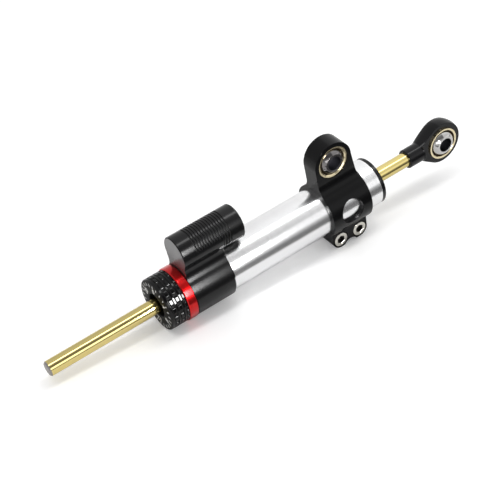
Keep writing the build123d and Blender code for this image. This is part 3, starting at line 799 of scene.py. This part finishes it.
# Depth of each ring of points and its radius at a turn, from the shank's end round the head into the socket.
rings = [
    (0.0183, lambda t: 0.0),
    (0.0183, lambda t: 0.0022),
    (0.0180, lambda t: 0.0025),
    (0.0043, lambda t: 0.0025),
    (0.0043, lambda t: 0.0039),
    (0.0040, lambda t: 0.0041),
    (0.0005, lambda t: 0.0041),
    (0.00015, lambda t: 0.00398),
    (0.0, lambda t: 0.00365),
    (0.0, lambda t: hexagon(screw_across, t) + 0.0003),
    (0.00025, lambda t: hexagon(screw_across, t)),
    (0.0024, lambda t: hexagon(screw_across, t)),
    (0.0030, lambda t: 0.0),
]
turns = [2 * math.pi * i / screw_steps for i in range(screw_steps)]
screw_mesh = bpy.data.meshes.new("screw")
shell = bmesh.new()
# The points in the socket are marked, and the finish paints them near black as painted shade.
inside = shell.verts.layers.float.new("socket")
loops = []
for depth, reach in rings:
    loops.append([shell.verts.new((reach(t) * math.sin(t), depth, reach(t) * math.cos(t))) for t in turns])
for loop in loops[screw_socket_from:]:
    for vert in loop:
        vert[inside] = 1.0
for first, second in zip(loops, loops[1:]):
    for i in range(screw_steps):
        j = (i + 1) % screw_steps
        shell.faces.new((first[i], second[i], second[j], first[j]))
bmesh.ops.remove_doubles(shell, verts=shell.verts, dist=0.000001)
bmesh.ops.recalc_face_normals(shell, faces=shell.faces)
shell.to_mesh(screw_mesh)
shell.free()
smooth(screw_mesh, 30)
screw_seed = add_object("screw", screw_mesh)
screw_steel, feed = start_finish("screw_steel")
turning = grain(feed, place_on(feed), 900.0)
# Painted shade: the socket is painted near black, and made dull.
socket_painted_shade = feed.node("ShaderNodeAttribute", {"attribute_name": "socket"}, out="Fac")
bright = mixed(feed, turning, (0.60, 0.58, 0.52), (0.74, 0.72, 0.66))
shade(feed, {
    "Base Color": mixed(feed, socket_painted_shade, bright, (0.03, 0.028, 0.026)),
    "Metallic": 1.0,
    "Roughness": 0.16 + turning * 0.08 + socket_painted_shade * 0.3,
}, height=turning, depth=0.000003, edge=0.0001)
screw_row = Nest("screw_row", {
    "Screw": ("NodeSocketObject", None),
    "Count": ("NodeSocketInt", 2),
    "Start": ("NodeSocketVector", (0, 0, 0)),
    "Pitch": ("NodeSocketVector", (0, 0, 0)),
})
given = screw_row.inputs
places = screw_row.node("GeometryNodeMeshLine", None,
                        {"Count": given["Count"], "Start Location": given["Start"], "Offset": given["Pitch"]})
part = screw_row.node("GeometryNodeObjectInfo", None, {"Object": given["Screw"]}, out="Geometry")
copies = screw_row.node("GeometryNodeInstanceOnPoints", None, {"Points": places, "Instance": part})
screw_row.close(copies, screw_steel)
screws = grow("screws", screw_row, {
    "Screw": screw_seed,
    "Count": 2,
    "Start": (screw_low.x + screw_head, screw_low.y, (screw_low.z + screw_high.z) / 2),
    "Pitch": (screw_pitch, 0, 0),
})
bpy.data.objects.remove(screw_seed)
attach(screws, "clamp")
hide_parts("clamp_screws")


# Spherical bearings, one in the ear and one in the rod end: a hard ground ball with flat ends in a race.
# The race is plated pale gold and lined with brown; the brown ring is widened with painted shade in its
# hollow.
# The ball is bright in the rod end and painted a darker grey in the ear, painted shade where it sits deep.
# Both balls are painted dark in their bores, painted shade.

ear_centre = (0.0, 0.0, 0.0)
eye_low, eye_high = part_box("rod_end_race")
rod_end_centre = ((eye_low.x + eye_high.x) / 2, 0.0, rod_z)
across_bore = (1, 0, 1)
bore_radius = 0.004
bore_skin = 0.00004
ear_liner_and_shade_to = 0.0075
rod_end_liner_and_shade_to = 0.0079


def race_finish(name, centre, liner_and_shade_to):
    """Pale gold plating outside, and dark brown from the seat out to a given radius: partly the liner, partly
    painted shade in the race's hollow.
    """
    made, feed = start_finish(name)
    plate = grain(feed, place_on(feed), 900.0)
    bright = away_from(feed, across_bore, centre) > liner_and_shade_to
    gold = mixed(feed, plate, (0.80, 0.68, 0.42), (0.90, 0.80, 0.56))
    shade(feed, {
        "Base Color": mixed(feed, bright, (0.035, 0.022, 0.010), gold),
        "Metallic": 1.0,
        "Roughness": 0.42 - bright * 0.24 + plate * 0.06,
    }, height=plate, depth=0.000003, edge=0.00012)
    return made


dress(race_finish("ear_race_plating", ear_centre, ear_liner_and_shade_to), "ear_race")
dress(race_finish("rod_end_race_plating", rod_end_centre, rod_end_liner_and_shade_to), "rod_end_race")


def ball_finish(name, centre, skin, light, bore):
    """Ground ball; its bore is painted dark, painted shade."""
    made, feed = start_finish(name)
    lap = grain(feed, place_on(feed, (400, 60, 400)), 1.0)
    # The bore is painted dark as painted shade, and made rougher.
    inside = away_from(feed, across_bore, centre) < bore_radius + bore_skin
    shade(feed, {
        "Base Color": mixed(feed, inside, mixed(feed, lap, skin, light), bore),
        "Metallic": 1.0,
        "Roughness": 0.08 + lap * 0.06 + inside * 0.3,
    }, height=lap, depth=0.000003, edge=0.00012)
    return made


# The ear's ball gets a darker grey than the rod end's, painted shade, since it sits deep in the ear.
ear_steel_painted_shade = ball_finish("ear_ball_steel_painted_shade", ear_centre,
                        (0.17, 0.16, 0.16), (0.26, 0.25, 0.25), (0.09, 0.09, 0.105))
dress(ear_steel_painted_shade, "ear_ball", "click_ball")
eye_steel = ball_finish("rod_end_ball_steel", rod_end_centre,
                        (0.52, 0.51, 0.50), (0.62, 0.61, 0.60), (0.05, 0.05, 0.055))
dress(eye_steel, "rod_end_ball")


# Rod end: forged and milled steel eye with a round shank, blackened; it is screwed on the rod.
# Its finish is a dark charcoal with a soft gleam and a fine scale in it.

charcoal, feed = start_finish("charcoal_satin")
scale = grain(feed, place_on(feed), 900.0)
patch = grain(feed, place_on(feed), 110.0)
shade(feed, {
    "Base Color": mixed(feed, patch, (0.003, 0.003, 0.0035), (0.007, 0.007, 0.008)),
    "Roughness": 0.10 + patch * 0.05 + scale * 0.03,
    "Specular IOR Level": 0.24,
}, height=scale, depth=0.000004, edge=0.00025)
dress(charcoal, "rod_end_body")


# Pieces inside: piston with its ring, bushes, metering sleeve and floating piston.
# They are plain turned parts, hidden while the damper is whole.

turned_alloy, feed = start_finish("plain_aluminium")
cuts = grain(feed, place_on(feed, (2500, 40, 40)), 1.0)
shade(feed, {
    "Base Color": mixed(feed, cuts, (0.66, 0.66, 0.67), (0.76, 0.76, 0.77)),
    "Metallic": 1.0,
    "Roughness": 0.28 + cuts * 0.1,
}, height=cuts, depth=0.000005)
dress(turned_alloy, "piston", "metering_sleeve", "floating_piston")
bronze, feed = start_finish("bronze")
oil = grain(feed, place_on(feed), 500.0)
shade(feed, {
    "Base Color": mixed(feed, oil, (0.42, 0.25, 0.10), (0.55, 0.36, 0.16)),
    "Metallic": 1.0,
    "Roughness": 0.3 + oil * 0.1,
}, height=oil, depth=0.000003)
dress(bronze, "head_guide_bush", "cap_guide_bush")
ptfe, feed = start_finish("ptfe")
soft = grain(feed, place_on(feed), 900.0)
shade(feed, {
    "Base Color": mixed(feed, soft, (0.36, 0.30, 0.20), (0.44, 0.38, 0.27)),
    "Roughness": 0.4 + soft * 0.15,
})
dress(ptfe, "piston_ring")


# Studio: a plain white floor in a pale room, with a soft box overhead and, in front, a strip and two small
# spots that only gloss shows, one for the knob and one for the red ring. The damper lies on its knob and
# on the clamp's lugs, so the floor leans a little along the rod.

def new_stage(name, corners, finish):
    """Flat four-cornered stage piece."""
    made = bpy.data.meshes.new(name)
    made.from_pydata(corners, [], [(0, 1, 2, 3)])
    made.materials.append(finish)
    piece = add_object(name, made)
    return piece


floor_gap = 0.00005
knob_foot = (knob_front + 0.0008, knob_low.z)
lug_foot = (screw_low.x + screw_head, cad_low.z)
lean = (lug_foot[1] - knob_foot[1]) / (lug_foot[0] - knob_foot[0])


def lay(left, right, near, far, lift):
    """Corners of a rectangle on the floor, lifted a little off it."""
    def rest(x):
        return lug_foot[1] + (x - lug_foot[0]) * lean - floor_gap + lift
    corners = ((left, near), (right, near), (right, far), (left, far))
    return [(x, y, rest(x)) for x, y in corners]


def for_rays(feed, *kinds):
    """1 for the kinds of ray named, 0 for the rest."""
    return sum(feed.node("ShaderNodeLightPath", out=kind) for kind in kinds)


paper, feed = start_finish("paper")
seen = for_rays(feed, "Is Camera Ray", "Is Transmission Ray")
lift = feed.node("ShaderNodeEmission", None, {"Color": (1, 1, 1, 1), "Strength": seen * 0.22})
matte = feed.node("ShaderNodeBsdfDiffuse", None, {"Color": (0.92, 0.92, 0.92, 1)})
both = feed.node("ShaderNodeAddShader", None, {0: matte, 1: lift})
feed.node("ShaderNodeOutputMaterial", None, {"Surface": both})
new_stage("floor", lay(-4, 4, -4, 4, 0.0), paper)

# A dark card lies on the floor in front; only gloss sees it, so it casts no shadow and only puts a dark band
# into the reflections of the tube and the collar.
dark_card, feed = start_finish("dark_card")
card = feed.node("ShaderNodeBsdfDiffuse", None, {"Color": (0.16, 0.16, 0.16, 1)})
feed.node("ShaderNodeOutputMaterial", None, {"Surface": card})
flag = new_stage("front_flag", lay(-0.095, 0.9, -4, -0.056, 0.0008), dark_card)
flag.visible_camera = False
flag.visible_diffuse = False
flag.visible_transmission = False
flag.visible_shadow = False

world = bpy.data.worlds.new("room")
bpy.context.scene.world = world
world.use_nodes = True
world.node_tree.nodes.clear()
feed = Feed(world.node_tree)
toward = feed.node("ShaderNodeTexCoord", out="Generated")
toward_x, toward_y, toward_z = (feed.node("ShaderNodeSeparateXYZ", None, {0: toward}, out=letter)
                                for letter in "XYZ")
round_turn = feed.maths("ARCTAN2", 0 - toward_y, toward_z) * (0.5 / math.pi) + 0.5


def wall(stops):
    """Brightness of the room by the turn from straight up towards the front, in degrees."""
    levels = [((turn + 180) / 360, (level, level, level)) for turn, level in stops]
    return feed.node("ShaderNodeValToRGB", {"stops": levels}, {"Fac": round_turn})


left_room = wall([(-180, 0.6), (-120, 0.72), (-73, 0.62), (-49, 0.64), (-20, 0.70), (18, 0.64), (27, 0.24),
                  (47, 0.18), (54, 0.5), (80, 0.6), (86, 0.45), (92, 0.3), (180, 0.5)])
right_room = wall([(-180, 1.0), (-120, 1.12), (-97, 1.0), (-60, 0.97), (-25, 1.1), (10, 1.1), (23, 1.0),
                   (36, 0.86), (47, 0.8), (53, 1.15), (76, 1.15), (83, 0.4), (92, 0.3), (180, 0.6)])
far_share = feed.node("ShaderNodeMapRange", {"interpolation_type": "SMOOTHSTEP"},
                      {"Value": toward_x, "From Min": 0.30, "From Max": 0.38})
room = mixed(feed, far_share, left_room, right_room)
seen_room = mixed(feed, for_rays(feed, "Is Camera Ray"), room, (1.0, 1.0, 1.0))
background = feed.node("ShaderNodeBackground", None, {"Color": seen_room, "Strength": 1.0})
feed.node("ShaderNodeOutputWorld", None, {"Surface": background})


def soft_box(name, x, turn, distance, width, height, radiance, gloss_only=False):
    """Rectangular lamp aimed at the rod's axis, at that turn from straight up towards the front."""
    aim = Vector((x, 0.0, rod_z))
    turn = math.radians(turn)
    place = aim + Vector((0.0, -distance * math.sin(turn), distance * math.cos(turn)))
    lamp = bpy.data.lights.new(name, "AREA")
    lamp.shape = "RECTANGLE"
    lamp.size = width
    lamp.size_y = height
    lamp.energy = radiance * math.pi * width * height
    holder = add_object(name, lamp)
    holder.location = place
    holder.rotation_euler = (aim - place).to_track_quat("-Z", "Y").to_euler()
    holder.visible_camera = False
    holder.visible_diffuse = not gloss_only


soft_box("overhead", x=0.1, turn=5.3, distance=0.75, width=1.2, height=0.14, radiance=4.6)
soft_box("gloss_strip", x=-0.13, turn=67, distance=0.22, width=0.25, height=0.080, radiance=1.9,
         gloss_only=True)
soft_box("knob_spot", x=-0.0465, turn=65, distance=0.21, width=0.016, height=0.090, radiance=60.0,
         gloss_only=True)
soft_box("ring_spot", x=-0.037, turn=65, distance=0.21, width=0.0055, height=0.085, radiance=12.0,
         gloss_only=True)


# Camera: at the photograph's angle, with its own slight roll, on a long lens.

camera = bpy.data.cameras.new("camera")
camera.lens = 96.58
camera.sensor_width = 36.0
camera.clip_start = 0.01
camera.clip_end = 20.0
viewer = add_object("camera", camera)
right = Vector((0.80547801, -0.576734, -0.13631973))
down = Vector((-0.47236777, -0.48590261, -0.73536885))
ahead = Vector((0.35787411, 0.65671648, -0.66381442))
aimed = Matrix((right, -down, -ahead)).transposed().to_4x4()
viewer.matrix_world = Matrix.Translation((-0.29579, -0.44499, 0.42094)) @ aimed
bpy.context.scene.camera = viewer
bpy.context.scene.view_settings.view_transform = "Standard"
